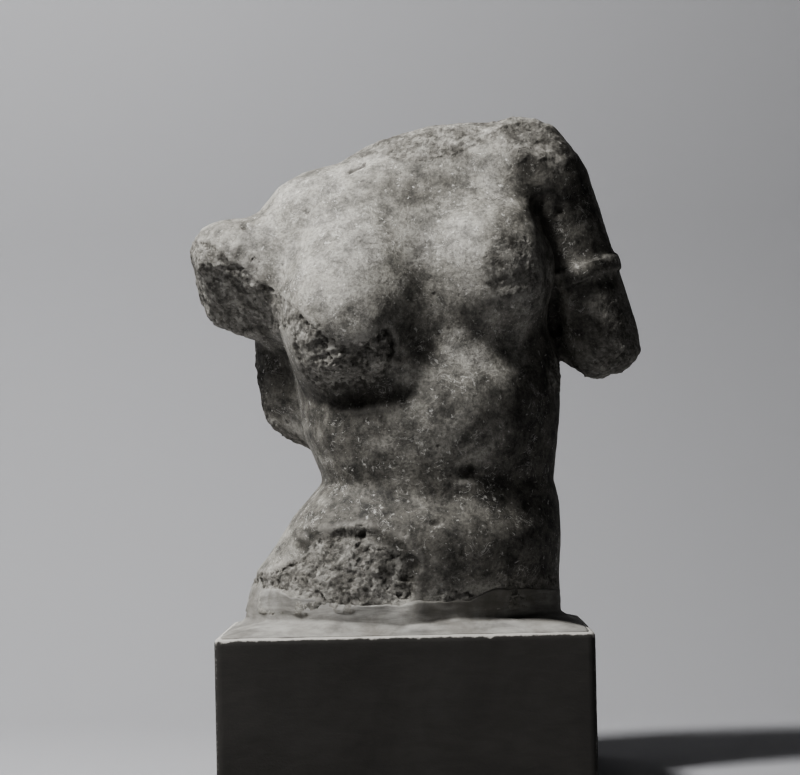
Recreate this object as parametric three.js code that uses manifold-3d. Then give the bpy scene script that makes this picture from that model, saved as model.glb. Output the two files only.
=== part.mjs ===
// A weathered marble torso of a standing woman, about half life size, set in a plaster foot on a block
// plinth. Millimetres. X runs to the viewer's right, Y away from the viewer, Z up. The origin is the middle
// of the plinth's underside.
import * as THREE from "three";
import { LoftGeometry } from "three/addons/geometries/LoftGeometry.js";
import { RoundedBoxGeometry } from "three/addons/geometries/RoundedBoxGeometry.js";
import { mergeVertices } from "three/addons/utils/BufferGeometryUtils.js";
import Module from "manifold-3d";

const wasm = await Module();
wasm.setup();

// Driving dimensions
const figureHeight = 328;
const footHeight = 20;
const footFlareLeft = 5;
const footFlareRight = 3;
const plinthHeight = 100;
const plinthSideMargin = 16.5;
const plinthFrontMargin = 9;
const plinthEdgeRadius = 3;
const jointGap = 0.3;
const armbandWidth = 11;
const armbandRelief = 1.8;

// The figure is drawn in hundredths of its own height: X and Y from the plinth's middle, Z from the marble's
// underside.
const hundredth = figureHeight / 100;
const at = (x, y, z) => new THREE.Vector3(x, y, z);

// Facets around and along each loft
const trunkSides = 72;
const trunkSteps = 43;
const armSides = 24;
const stubSides = 26;
const stubSteps = 9;

// Outline of the trunk by height: [height, left, right, front, back]
const trunkOutline = [
  [-3.0, -33.9, 32.6, -23.8, 22.6],
  [1.1, -32.9, 32.3, -23.8, 22.3],
  [4.8, -31.4, 32.3, -23.5, 21.6],
  [9.1, -28.0, 32.5, -23.2, 20.7],
  [13.6, -25.0, 32.6, -22.6, 19.5],
  [17.6, -22.3, 32.5, -21.3, 18.3],
  [20.8, -19.7, 32.3, -20.3, 17.4],
  [24.5, -17.3, 32.0, -19.9, 16.6],
  [28.6, -17.9, 32.0, -20.1, 16.5],
  [32.8, -19.8, 32.5, -20.1, 17.1],
  [39.5, -21.0, 33.1, -20.1, 18.3],
  [47.2, -22.3, 33.1, -19.5, 19.5],
  [54.8, -23.5, 31.7, -19.2, 20.4],
  [63.9, -23.8, 30.2, -18.9, 20.7],
  [73.1, -22.9, 29.6, -17.4, 20.1],
  [80.7, -21.0, 28.4, -13.6, 18.3],
  [86.8, -17.1, 26.2, -8.2, 14.6],
  [92.9, -12.2, 22.9, -3.7, 9.1],
];
const trunkSquareness = 2.35;
const trunkTurn = THREE.MathUtils.degToRad(9);
const trunkTop = 89;

// Places along the left arm, and the plane in which it broke off
const shoulderPoint = at(26.6, 0.6, 89.6);
const deltoidPeak = at(31.0, 0.9, 84.3);
const deltoidPoint = at(33.5, 1.2, 78.6);
const elbowwardPoint = at(42.1, 1.8, 52.3);
const shoulderRadius = 10.3;
const deltoidPeakRadius = 10.0;
const deltoidRadius = 9.1;
const armRadius = 8.4;
const armbandPlace = 0.47;
const armbandBevel = 0.3;

// The right shoulder, lower than the left, and how far the stub's own root lies inside it
const rightShoulderPoint = at(-17.1, 1.8, 76.7);
const rightArmPoint = at(-24.6, 3.0, 68.4);
const rightShoulderRadius = 10.9;
const rightArmRadius = 9.4;
const rootDepth = 1.4;

// How far a limb's skin lies under the body's where they overlap
const sink = 0.12;

function smoothMin(a, b, width) {
  const share = THREE.MathUtils.clamp(0.5 + (0.5 * (b - a)) / width, 0, 1);
  return b + (a - b) * share - width * share * (1 - share);
}

function smoothMax(a, b, width) {
  return -smoothMin(-a, -b, width);
}

function bump(distance, width) {
  return Math.exp(-((distance / width) ** 2));
}

// A gently uneven face, as stone has where it broke: up to about 1 each way, repeating nowhere on the figure
function unevenness(p, grain) {
  const x = p.x / grain;
  const y = p.y / grain;
  const z = p.z / grain;
  const broad = Math.sin(x * 1.7 + Math.sin(y * 1.3 + 2)) * Math.cos(z * 1.9 + Math.sin(x * 1.1));
  const fine = Math.sin(x * 3.9 + z * 2.3) * Math.cos(y * 3.1 - z * 3.7);
  return 0.65 * broad + 0.35 * fine;
}

// Signed distance to an ellipsoid that leans about X or Y. A squareness over 2 fills out its corners
function ellipsoid(centre, radii, leanX = 0, leanY = 0, squareness = 2) {
  const toRadians = THREE.MathUtils.degToRad;
  const lean = new THREE.Quaternion().setFromEuler(new THREE.Euler(toRadians(leanX), toRadians(leanY), 0));
  lean.invert();
  return (p) => {
    const q = p.clone().sub(centre).applyQuaternion(lean);
    const shares = [q.x / radii.x, q.y / radii.y, q.z / radii.z];
    const powers = shares.map((share) => Math.abs(share) ** squareness);
    const near = (powers[0] + powers[1] + powers[2]) ** (1 / squareness) + 1e-9;
    const slope = Math.hypot(q.x / radii.x ** 2, q.y / radii.y ** 2, q.z / radii.z ** 2) + 1e-9;
    return (near * (near - 1)) / slope;
  };
}

// Signed distance to a limb that tapers from one ball to another
function limb(start, end, startRadius, endRadius) {
  const line = new THREE.Line3(start, end);
  const nearest = new THREE.Vector3();
  return (p) => {
    const share = line.closestPointToPointParameter(p, true);
    line.at(share, nearest);
    return p.distanceTo(nearest) - THREE.MathUtils.lerp(startRadius, endRadius, share);
  };
}

// Signed distance to a plane, positive on the side to which its normal points
function plane(point, normal) {
  const flat = new THREE.Plane().setFromNormalAndCoplanarPoint(normal.clone().normalize(), point);
  return (p) => flat.distanceToPoint(p);
}

// Outline values at a height, by a smooth curve through the rows above and below it
function outlineAt(height) {
  const rows = trunkOutline;
  const last = rows.length - 1;
  let i = rows.findIndex((row) => row[0] > height) - 1;
  if (i < 0) {
    i = height <= rows[0][0] ? 0 : last - 1;
  }
  const step = rows[i + 1][0] - rows[i][0];
  const t = THREE.MathUtils.clamp((height - rows[i][0]) / step, 0, 1);
  const slopeAt = (row, column) => {
    const before = Math.max(row - 1, 0);
    const after = Math.min(row + 1, last);
    return (rows[after][column] - rows[before][column]) / (rows[after][0] - rows[before][0]);
  };
  return [1, 2, 3, 4].map((column) => {
    const share = 3 * t ** 2 - 2 * t ** 3;
    const rise = THREE.MathUtils.lerp(rows[i][column], rows[i + 1][column], share);
    const lead = (t ** 3 - 2 * t ** 2 + t) * step * slopeAt(i, column);
    const follow = (t ** 3 - t ** 2) * step * slopeAt(i + 1, column);
    return rise + lead + follow;
  });
}

// The trunk without its swellings: a rounded rectangle at each height, turned a little to the viewer's right
function trunkCore(p) {
  const [left, right, front, back] = outlineAt(p.z);
  const across = (right - left) / 2;
  const deep = (back - front) / 2;
  const x = p.x - (left + right) / 2;
  const y = p.y - (front + back) / 2;
  const u = Math.abs(x * Math.cos(trunkTurn) + y * Math.sin(trunkTurn)) / across;
  const v = Math.abs(y * Math.cos(trunkTurn) - x * Math.sin(trunkTurn)) / deep;
  const share = (u ** trunkSquareness + v ** trunkSquareness) ** (1 / trunkSquareness);
  return (share - 1) * Math.min(across, deep) * 0.9;
}

// The fold of flesh behind the right armpit, which runs from the arm down the side of the back and has a
// broken edge
const backFoldMass = ellipsoid(at(-16.6, 10.6, 49.6), at(14.7, 7.4, 20.0), 0, -10);
const backFoldFoot = ellipsoid(at(-22.0, 11.2, 41.0), at(7.6, 6.0, 7.7), 0, -12);
const backFoldBreak = plane(at(-31.2, 10, 49), at(-0.99, 0.1, -0.02));

function backFoldForm(p) {
  const mass = smoothMin(backFoldMass(p), backFoldFoot(p), 2.4);
  return smoothMax(mass, backFoldBreak(p) + 0.6 * unevenness(p, 3.4), 0.9);
}

const shoulderGirdle = limb(rightShoulderPoint, at(24.4, 1.8, 84.7), rightShoulderRadius, 12.2);
const rightShoulder = limb(rightShoulderPoint, rightArmPoint, rightShoulderRadius, rightArmRadius);

// Swellings laid over the trunk, each with the width over which it blends in
const swellings = [
  { form: shoulderGirdle, blend: 4.9 },
  { form: rightShoulder, blend: 4.3 },
  { form: ellipsoid(at(6.4, 2.4, 85.3), at(20.2, 10.6, 13.4), 0, -15), blend: 4.3 }, // root of the neck
  { form: limb(shoulderPoint, at(30.2, 0.9, 83.4), shoulderRadius, 9.3), blend: 3.0 }, // left shoulder
  { form: ellipsoid(at(-9.4, -12.6, 58.4), at(14.2, 13.2, 16.4), -21), blend: 6.7 }, // right breast
  { form: ellipsoid(at(20.1, -11.2, 67.6), at(11.8, 11.4, 12.8), -24), blend: 6.7 }, // left breast
  { form: ellipsoid(at(11.6, -13.4, 38.3), at(13.4, 7.9, 12.2), 0, 10), blend: 4.9 }, // upper belly
  { form: ellipsoid(at(4.3, -11.0, 10.9), at(22.6, 12.2, 10.4)), blend: 6.1 }, // lower belly
  { form: ellipsoid(at(-8.5, 12.8, 70.0), at(8.5, 8.0, 14.0), 8, 12), blend: 6.1 }, // right shoulder blade
  { form: ellipsoid(at(17.5, 12.6, 74.0), at(8.5, 8.0, 14.0), 8, 8), blend: 6.1 }, // left shoulder blade
  { form: backFoldForm, blend: 3.4 },
  { form: ellipsoid(at(-14.0, 11.5, 1.5), at(13.5, 12.5, 11.0)), blend: 5.5 }, // right buttock
  { form: ellipsoid(at(12.5, 11.0, 0.5), at(13.5, 12.0, 10.0)), blend: 5.5 }, // left buttock
];

// Hollows: how far the surface sinks at a point, in hundredths of the height
function hollowDepth(p) {
  const onFront = bump(Math.max(0, p.y + 6), 9);
  const onBack = bump(Math.min(0, p.y - 8), 6);
  const crease = 24.0 - 2.2 * bump(p.x - 3.5, 13);
  const waistFold = 1.0 * bump(p.z - crease, 2.3) * onFront * (0.5 + 0.5 * bump(p.x - 2, 18));
  const navel = 1.3 * bump(Math.hypot(p.x - 13.0, p.z - 25.9), 1.4) * onFront;
  const spineX = 6.5 - 3.5 * bump(p.z - 60, 30);
  const spineReach = bump(Math.max(0, 14 - p.z, p.z - 78), 8);
  const spine = 1.2 * bump(p.x - spineX, 3.4) * spineReach * onBack;
  const scarReach = Math.hypot(p.x - 22.6, p.z - 67.9) / 8.6;
  const nippleScar = 0.45 * THREE.MathUtils.smoothstep(1.1 - scarReach, 0, 0.25) * onFront;
  return waistFold + navel + spine + nippleScar;
}

// Broken places. The neck went flush with the shoulders, and the right breast lost its lower front
const neckBreak = plane(at(8.0, 0, 98.3), at(-0.25, -0.12, 0.96));
const breastBreakFace = plane(at(-11.6, -22.9, 48.4), at(-0.2, -0.88, -0.43));
const breastBreakReach = ellipsoid(at(-11.8, -25.0, 48.4), at(14.5, 12.0, 10.0));
const shoulderBreak = ellipsoid(at(28.6, -11.0, 96.6), at(8.5, 6.0, 5.4), 0, 35);

// The skin of the right hip broke away in front, in a hump with a tail to the side
const hipBreakDepth = 1.1;
const hipBreakPatches = [
  { x: -10.4, z: 6.2, wide: 14.2, high: 9.0 },
  { x: -26.0, z: 2.4, wide: 9.0, high: 3.4 },
];

function hipBreakAt(p) {
  const shares = hipBreakPatches.map((patch) =>
    Math.hypot((p.x - patch.x) / patch.wide, (p.z - patch.z) / patch.high),
  );
  const inside = THREE.MathUtils.smoothstep(1 - Math.min(...shares), 0, 0.12);
  const inFront = THREE.MathUtils.smoothstep(-p.y, -4, 6);
  return inside * inFront * hipBreakDepth * (1 + 0.45 * unevenness(p, 2.4));
}

function trunkForm(p) {
  let d = smoothMax(trunkCore(p), p.z - trunkTop, 3.6);
  for (const { form, blend } of swellings) {
    d = smoothMin(d, form(p), blend);
  }
  d += hollowDepth(p) + hipBreakAt(p);
  const rough = 0.5 * unevenness(p, 4.2);
  d = smoothMax(d, neckBreak(p) + rough * 0.5, 0.8);
  d = smoothMax(d, rough + Math.min(breastBreakFace(p), -breastBreakReach(p)), 0.6);
  return smoothMax(d, rough * 0.5 - shoulderBreak(p), 0.8);
}

// A limb's form, filled out to the body's skin where they meet and carried no farther into the body
function joined(limbForm, bodyForm, blendAt) {
  return (p) => {
    const own = limbForm(p);
    const blend = blendAt(p);
    return Math.max(smoothMin(own, bodyForm(p), blend) + sink, own - blend);
  };
}

// The left upper arm hangs from the shoulder, wears a plain raised band and ends in a break
const armLine = new THREE.Line3(deltoidPoint, elbowwardPoint);
const armLength = armLine.distance();
const armbandHalf = armbandWidth / hundredth / 2;
const armShoulder = limb(shoulderPoint, deltoidPeak, shoulderRadius, deltoidPeakRadius);
const armUpper = limb(deltoidPeak, deltoidPoint, deltoidPeakRadius, deltoidRadius);
const armLower = limb(deltoidPoint, elbowwardPoint, deltoidRadius, armRadius);
const armWeb = limb(at(31.5, 2.6, 66), at(33.4, 3.0, 50.6), 2.2, 2.2);
const armBreak = plane(at(42.1, 0, 44.9), at(0.28, -0.2, -0.94));

function armForm(p) {
  const fromBand = Math.abs(armLine.closestPointToPointParameter(p, false) - armbandPlace) * armLength;
  const raised = THREE.MathUtils.clamp((armbandHalf - fromBand) / armbandBevel, 0, 1);
  const bare = smoothMin(Math.min(armShoulder(p), armUpper(p)), armLower(p), 0.6);
  const d = bare - (raised * armbandRelief) / hundredth;
  return smoothMax(smoothMin(d, armWeb(p), 1.6), armBreak(p) + 0.5 * unevenness(p, 4.0), 0.7);
}

// The stub of the right arm, broken off close to the shoulder. Below a slanting edge its front has split away
const stubMass = ellipsoid(at(-26.6, 0.6, 66.0), at(19.2, 12.0, 12.8), 0, 12, 2.6);
const stubRoot = limb(
  rightShoulderPoint,
  rightArmPoint,
  rightShoulderRadius - rootDepth,
  rightArmRadius - rootDepth,
);
const stubBreak = plane(at(-32.6, -11.4, 68.6), at(-0.42, -0.7, -0.57));
const stubEnd = plane(at(-43.2, 0, 70.5), at(-0.95, -0.15, -0.27));
const stubEdge = plane(at(-32.8, 0, 71.7), at(-0.73, 0, -0.68));
const stubSplit = 1.1;

function stubForm(p) {
  const rough = unevenness(p, 4.4);
  const inFront = THREE.MathUtils.smoothstep(-p.y, -3, 2);
  const below = THREE.MathUtils.smoothstep(Math.min(stubEdge(p), 76.4 - p.z), 0, 0.9);
  const whole = smoothMin(stubMass(p), stubRoot(p), 4) + below * inFront * stubSplit * (1 + 0.4 * rough);
  return smoothMax(smoothMax(whole, stubBreak(p) + 0.6 * rough, 0.9), stubEnd(p) + 0.4 * rough, 0.8);
}

// The left arm blends into the trunk over its shoulder alone, the stub all round
const armpitHeight = 66;
const deltoidHeight = 76;
const armBlendAt = (p) => 0.05 + 1.6 * THREE.MathUtils.smoothstep(p.z, armpitHeight, deltoidHeight);
const joinedArm = joined(armForm, trunkForm, armBlendAt);
const joinedStub = joined(stubForm, trunkForm, () => 3.2);

// Distance from a point to where a form's surface is met along a direction
function reach(form, from, direction) {
  const probe = new THREE.Vector3();
  const valueAt = (distance) => form(probe.copy(from).addScaledVector(direction, distance));
  let inside = 0;
  let outside = 0.4;
  while (valueAt(outside) < 0) {
    inside = outside;
    outside += 0.4;
  }
  for (let halving = 0; halving < 14; halving++) {
    const middle = (inside + outside) / 2;
    if (valueAt(middle) < 0) {
      inside = middle;
    } else {
      outside = middle;
    }
  }
  return outside;
}

// The ring in which a form's surface meets the plane through centre, spanned by the two directions given
function ringAround(form, centre, across, deep, sides) {
  return Array.from({ length: sides }, (_, i) => {
    const angle = (i / sides) * 2 * Math.PI;
    const ray = across.clone().multiplyScalar(Math.cos(angle)).addScaledVector(deep, Math.sin(angle));
    return centre.clone().addScaledVector(ray, reach(form, centre, ray));
  });
}

// Rings that close a loft over its last ring, carried outwards to the form's surface
function domeRings(form, centre, ring, outward, shares) {
  return shares.map((share) =>
    ring.map((point) => {
      const start = centre.clone().lerp(point, share);
      return start.addScaledVector(outward, reach(form, start, outward));
    }),
  );
}

function solidOf(geometry) {
  const vertProperties = new Float32Array(geometry.attributes.position.array);
  const triVerts = new Uint32Array(geometry.index.array);
  return new wasm.Manifold(new wasm.Mesh({ numProp: 3, vertProperties, triVerts }));
}

function geometryOf(solid) {
  const mesh = solid.getMesh();
  const geometry = new THREE.BufferGeometry();
  geometry.setAttribute("position", new THREE.Float32BufferAttribute(mesh.vertProperties, 3));
  geometry.setIndex(new THREE.Uint32BufferAttribute(mesh.triVerts, 1));
  return geometry;
}

// A closed skin over the rings, drawn in to a point in the middle of its first and last ring
function lofted(rings, scale = hundredth) {
  const poles = [rings[0], rings.at(-1)].map((ring) => {
    const middle = ring.reduce((sum, point) => sum.add(point), at(0, 0, 0)).divideScalar(ring.length);
    return ring.map(() => middle);
  });
  const sections = [poles[0], ...rings, poles[1]].map((ring) =>
    ring.map((point) => point.clone().multiplyScalar(scale)),
  );
  const skin = new THREE.BufferGeometry().copy(new LoftGeometry(sections));
  skin.deleteAttribute("normal");
  skin.deleteAttribute("uv");
  const merged = mergeVertices(skin, 1e-5);
  const corners = merged.index.array;
  const kept = [];
  for (let i = 0; i < corners.length; i += 3) {
    const [a, b, c] = corners.slice(i, i + 3);
    if (a !== b && b !== c && c !== a) {
      kept.push(a, b, c);
    }
  }
  merged.setIndex(kept);
  return merged;
}

// The line up the middle of the trunk, and how far each level leans with the shoulders
const trunkAxis = new THREE.CatmullRomCurve3([
  at(-0.5, -0.4, 0),
  at(3.5, -0.4, 12),
  at(6.2, -0.4, 24),
  at(5.0, 0, 44),
  at(3.5, 1.0, 62),
  at(4.6, 1.8, 76),
  at(6.0, 2.0, 84),
]);
const shoulderLean = THREE.MathUtils.degToRad(16);
const domeShares = [0.95, 0.86, 0.74, 0.58, 0.4, 0.2];

function trunkSections() {
  const deep = at(0, 1, 0);
  const rings = [];
  let centre;
  let ring;
  let outward;
  for (let step = 0; step <= trunkSteps; step++) {
    const share = step / trunkSteps;
    const lean = shoulderLean * THREE.MathUtils.smoothstep(share, 0.1, 0.95);
    const across = at(Math.cos(lean), 0, Math.sin(lean));
    outward = at(-Math.sin(lean), 0, Math.cos(lean));
    centre = trunkAxis.getPointAt(share);
    ring = ringAround(trunkForm, centre, across, deep, trunkSides);
    rings.push(ring);
  }
  return rings.concat(domeRings(trunkForm, centre, ring, outward, domeShares));
}

// Sections at right angles to a curve, at shares of its length, then rings over the face at its end
function limbSections(form, curve, places, sides, shares) {
  let centre;
  let outward;
  const rings = places.map((place) => {
    centre = curve.getPointAt(place);
    outward = curve.getTangentAt(place);
    const across = at(0, 1, 0).cross(outward).normalize();
    const deep = outward.clone().cross(across);
    return ringAround(form, centre, across, deep, sides);
  });
  return rings.concat(domeRings(form, centre, rings.at(-1), outward, shares));
}

function evenSteps(from, to, count) {
  return Array.from({ length: count + 1 }, (_, i) => from + ((to - from) * i) / count);
}

function armSections() {
  const share = (part) => armLine.at(part, at(0, 0, 0));
  const end = 0.96;
  const insideShoulder = at(28.6, 0.9, 85.8);
  const line = new THREE.CatmullRomCurve3([insideShoulder, share(0), share(0.2), share(0.6), share(end)]);
  const placeOf = (distance) => 1 - (end * armLength - distance) / line.getLength();
  const bandTop = armbandPlace * armLength - armbandHalf;
  const bandFoot = armbandPlace * armLength + armbandHalf;
  const places = [
    ...evenSteps(0, placeOf(bandTop - 2.6), 7),
    ...[bandTop, bandTop + armbandBevel, bandFoot - armbandBevel, bandFoot].map(placeOf),
    ...evenSteps(placeOf(bandFoot + 2.4), 1, 4),
  ];
  return limbSections(joinedArm, line, places, armSides, [0.92, 0.74, 0.5, 0.24]);
}

function stubSections() {
  const line = new THREE.LineCurve3(at(-16, 2, 70), at(-37.5, 1.5, 68));
  return limbSections(joinedStub, line, evenSteps(0, 1, stubSteps), stubSides, [0.9, 0.72, 0.5, 0.25]);
}

const marble = new THREE.MeshStandardMaterial({ color: 0xcfc9bc, roughness: 0.78, metalness: 0 });
const plaster = new THREE.MeshStandardMaterial({ color: 0xd9d5ca, roughness: 0.9, metalness: 0 });
const paintedPlaster = new THREE.MeshStandardMaterial({ color: 0xc4bfb2, roughness: 0.85, metalness: 0 });

const trunkRings = trunkSections();

function makeTorso() {
  const trunk = solidOf(lofted(trunkRings));
  const arm = solidOf(lofted(armSections()));
  const stub = solidOf(lofted(stubSections()));
  const mesh = new THREE.Mesh(geometryOf(trunk.add(arm).add(stub)), marble);
  mesh.name = "torso";
  mesh.position.z = plinthHeight + footHeight + jointGap;
  return mesh;
}

// The foot takes the outline of the marble's underside and spreads in a hollow curve to the plinth
function makeFoot() {
  const outline = trunkRings[0]
    .filter((_, i) => i % 2 === 0)
    .map((point) => point.clone().multiplyScalar(hundredth).setZ(0));
  const middle = trunkAxis.getPointAt(0).multiplyScalar(hundredth).setZ(0);
  const spread = [
    [0, 1],
    [0.06, 0.62],
    [0.15, 0.34],
    [0.3, 0.12],
    [0.5, 0.02],
    [1, 0],
  ];
  const height = footHeight - jointGap;
  const sections = spread.map(([rise, share]) =>
    outline.map((point) => {
      const away = point.clone().sub(middle).normalize();
      const toLeft = THREE.MathUtils.smoothstep(-away.x, -0.6, 0.9);
      const flare = THREE.MathUtils.lerp(footFlareRight, footFlareLeft, toLeft) * share;
      return point.clone().addScaledVector(away, flare).setZ(rise * height);
    }),
  );
  const mesh = new THREE.Mesh(lofted(sections, 1), plaster);
  mesh.name = "plaster_foot";
  mesh.position.z = plinthHeight + jointGap;
  return mesh;
}

function makePlinth() {
  const box = new THREE.Box3().setFromPoints(trunkRings[0]);
  const size = box.getSize(new THREE.Vector3()).multiplyScalar(hundredth);
  const width = size.x + 2 * plinthSideMargin;
  const depth = size.y + 2 * plinthFrontMargin;
  const block = new RoundedBoxGeometry(width, depth, plinthHeight, 2, plinthEdgeRadius);
  const mesh = new THREE.Mesh(block, paintedPlaster);
  mesh.name = "plinth";
  mesh.position.z = plinthHeight / 2;
  return mesh;
}

const group = new THREE.Group();
group.add(makeTorso(), makeFoot(), makePlinth());

export default group;
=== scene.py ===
"""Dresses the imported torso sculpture: weathered marble with its broken places, a plaster foot and a plinth.

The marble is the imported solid's own form, given a fine even mesh, then its relief: rough breaks, chips, pits,
creases and the raised band on the arm. Places on the marble are named by where they stand in the reference
view, whose camera is also the scene's camera.
"""

from __future__ import annotations

import logging
import math
from dataclasses import dataclass, field
from enum import Enum
from typing import Any

import bmesh
import bpy
import numpy as np
from mathutils import Matrix, Vector, noise
from mathutils.bvhtree import BVHTree

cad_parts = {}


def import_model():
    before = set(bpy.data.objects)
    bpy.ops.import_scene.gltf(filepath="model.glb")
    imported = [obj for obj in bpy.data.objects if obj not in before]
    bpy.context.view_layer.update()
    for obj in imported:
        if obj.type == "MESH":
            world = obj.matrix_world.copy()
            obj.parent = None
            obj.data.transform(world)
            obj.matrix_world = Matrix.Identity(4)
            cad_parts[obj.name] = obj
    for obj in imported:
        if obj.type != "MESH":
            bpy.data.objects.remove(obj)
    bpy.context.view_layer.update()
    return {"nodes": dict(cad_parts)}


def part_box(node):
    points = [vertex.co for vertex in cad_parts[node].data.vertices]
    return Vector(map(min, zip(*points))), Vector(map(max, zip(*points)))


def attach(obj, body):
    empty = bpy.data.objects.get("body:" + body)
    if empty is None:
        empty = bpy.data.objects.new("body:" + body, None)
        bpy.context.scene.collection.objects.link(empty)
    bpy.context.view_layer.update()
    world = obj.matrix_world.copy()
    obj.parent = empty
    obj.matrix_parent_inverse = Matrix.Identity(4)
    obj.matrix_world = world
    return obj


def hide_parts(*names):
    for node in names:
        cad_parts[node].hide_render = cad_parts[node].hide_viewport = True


LOG = logging.getLogger("torso_sculpture")
MM = 0.001
WITHOUT_HEIGHT = np.array((1.0, 1.0, 0.0))

Pixel = tuple[float, float]
Outline = tuple[Pixel, ...]
Values = np.ndarray


class Slot(Enum):
    """The record's material slots."""

    MARBLE = "marble"
    PLASTER = "plaster"
    PAINT = "painted_plaster"


@dataclass(frozen=True)
class ReferenceView:
    """The reference view's camera: place in millimetres, angles in degrees, picture in pixels."""

    place: tuple[float, float, float] = (13.4, -1724.0, 215.0)
    turn: float = 0.455
    pitch: float = 1.59
    roll: float = 1.2
    focal: float = 2519.0
    width: int = 800
    height: int = 775
    sensor: float = 36.0
    sees_to: float = 20.0

    @property
    def pixels_per_mm(self) -> float:
        """The picture's scale at the middle of the work."""
        return self.focal / abs(self.place[1])

    def axes(self) -> tuple[Vector, Vector, Vector]:
        """Works out the camera's own directions.

        Returns:
            Its right, up and forward directions, each of length one.
        """
        turn, pitch, roll = (math.radians(angle) for angle in (self.turn, self.pitch, self.roll))
        level = math.cos(pitch)
        forward = Vector((-math.sin(turn) * level, math.cos(turn) * level, math.sin(pitch)))
        right = forward.cross(Vector((0.0, 0.0, 1.0))).normalized()
        up = right.cross(forward)
        rolled_right = right * math.cos(roll) - up * math.sin(roll)
        rolled_up = up * math.cos(roll) + right * math.sin(roll)
        return rolled_right, rolled_up, forward

    def pixels(self, points: Values) -> tuple[Values, Values]:
        """Finds where points stand in the picture.

        Args:
            points: Places in millimetres, one to a row.

        Returns:
            Their pixels across and down.
        """
        right, up, forward = (np.array(axis) for axis in self.axes())
        away = points - np.array(self.place)
        scale = self.focal / (away @ forward)
        return self.width / 2 + scale * (away @ right), self.height / 2 - scale * (away @ up)

    def make_camera(self) -> bpy.types.Object:
        """Adds the camera to the scene and looks through it.

        Returns:
            The camera.
        """
        data = bpy.data.cameras.new("reference_view")
        data.sensor_width = self.sensor
        data.lens = self.focal * self.sensor / self.width
        data.clip_end = self.sees_to
        camera = linked("reference_view", data)
        right, up, forward = self.axes()
        turned = Matrix((right, up, -forward)).transposed().to_4x4()
        camera.matrix_world = Matrix.Translation(Vector(self.place) * MM) @ turned
        bpy.context.scene.camera = camera
        return camera


def smoothstep(value: Values, low: float, high: float) -> Values:
    """Rises smoothly from 0 where value is low to 1 where it is high."""
    share = np.clip((value - low) / (high - low), 0.0, 1.0)
    return share * share * (3.0 - 2.0 * share)


def nearest_on(u: Values, v: Values, line: Outline) -> Values:
    """Measures how far pixels are from a line.

    Args:
        u: Pixels across.
        v: Pixels down.
        line: The line's corners, in order.

    Returns:
        Each distance to the nearest place on the line, in pixels.
    """
    nearest = np.full(u.shape, np.inf)
    for (start_u, start_v), (end_u, end_v) in zip(line, line[1:]):
        along_u, along_v = end_u - start_u, end_v - start_v
        share = ((u - start_u) * along_u + (v - start_v) * along_v) / (along_u**2 + along_v**2)
        share = np.clip(share, 0.0, 1.0)
        aside = np.hypot(u - start_u - share * along_u, v - start_v - share * along_v)
        nearest = np.minimum(nearest, aside)
    return nearest


def within(u: Values, v: Values, outline: Outline) -> Values:
    """Measures how far pixels are inside an outline.

    Args:
        u: Pixels across.
        v: Pixels down.
        outline: The outline's corners, in order.

    Returns:
        Each distance to the outline in pixels, positive inside it.
    """
    closed = (*outline, outline[0])
    inside = np.zeros(u.shape, bool)
    for (start_u, start_v), (end_u, end_v) in zip(closed, closed[1:]):
        if start_v == end_v:
            continue
        crossing = start_u + (v - start_v) * (end_u - start_u) / (end_v - start_v)
        inside ^= ((start_v > v) != (end_v > v)) & (u < crossing)
    distance = nearest_on(u, v, closed)
    return np.where(inside, distance, -distance)


def uneven(points: Values, size: float, octaves: int, seed: int, softness: float = 0.9) -> Values:
    """Samples smooth random unevenness.

    Args:
        points: Places in millimetres, one to a row.
        size: The width of its broadest waves, in millimetres.
        octaves: How many times it is laid over itself at half the size.
        seed: Which unevenness.
        softness: How much weaker each finer layer is; 0 keeps them all as strong.

    Returns:
        A value at each place, mostly between -1 and 1.
    """
    shift = np.array((17.3, 41.9, 5.7)) * (seed + 1)
    finer = 2.0
    heights = (noise.fractal(Vector(place), softness, finer, octaves) for place in points / size + shift)
    return np.fromiter(heights, float, len(points))


def grains(points: Values, size: float, seed: int) -> tuple[Values, Values]:
    """Samples a field of random grains.

    Args:
        points: Places in millimetres, one to a row.
        size: The grains' width, in millimetres.
        seed: Which field.

    Returns:
        The distance to the nearest grain's middle in grain widths, and that middle, in millimetres.
    """
    shift = np.array((7.1, 23.7, 61.3)) * (seed + 1)
    found = [noise.voronoi(Vector(place)) for place in points / size + shift]
    nearest = np.array([distances[0] for distances, _ in found])
    middles = np.array([middle[0] for _, middle in found]).reshape(-1, 3)
    return nearest, (middles - shift) * size


def crystal_faces(points: Values, size: float, seed: int) -> Values:
    """Samples the flat tilted faces at which crystals part.

    Args:
        points: Places in millimetres, one to a row.
        size: The crystals' width, in millimetres.
        seed: Which crystals.

    Returns:
        Each place's height in crystal widths, mostly between -1 and 1.
    """
    _, middles = grains(points, size, seed)
    stir = ((12.99, 78.23, 37.72), (39.35, 11.14, 83.16), (73.16, 52.24, 9.15), (26.65, 94.67, 61.31))
    stretch = 437.585
    chances = np.mod(np.sin(middles @ np.array(stir).T) * stretch, 1.0) * 2.0 - 1.0
    tilt = np.sum(chances[:, :3] * (points - middles), axis=1) / size
    rise, slope = 0.2, 0.9
    return rise * chances[:, 3] + slope * tilt


@dataclass(frozen=True)
class Break:
    """A place where stone split away. Its outline is in the view's pixels, its sizes in millimetres."""

    name: str
    outline: Outline
    depth: float
    roughness: float
    edge: float
    back_limit: float
    raggedness: float = 3.0


@dataclass(frozen=True)
class Swell:
    """A soft rise, or a hollow where its height is negative, round a pixel of the reference view."""

    name: str
    centre: Pixel
    radii: Pixel
    height: float
    tilt: float = 0.0
    back_limit: float = -20.0


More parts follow.
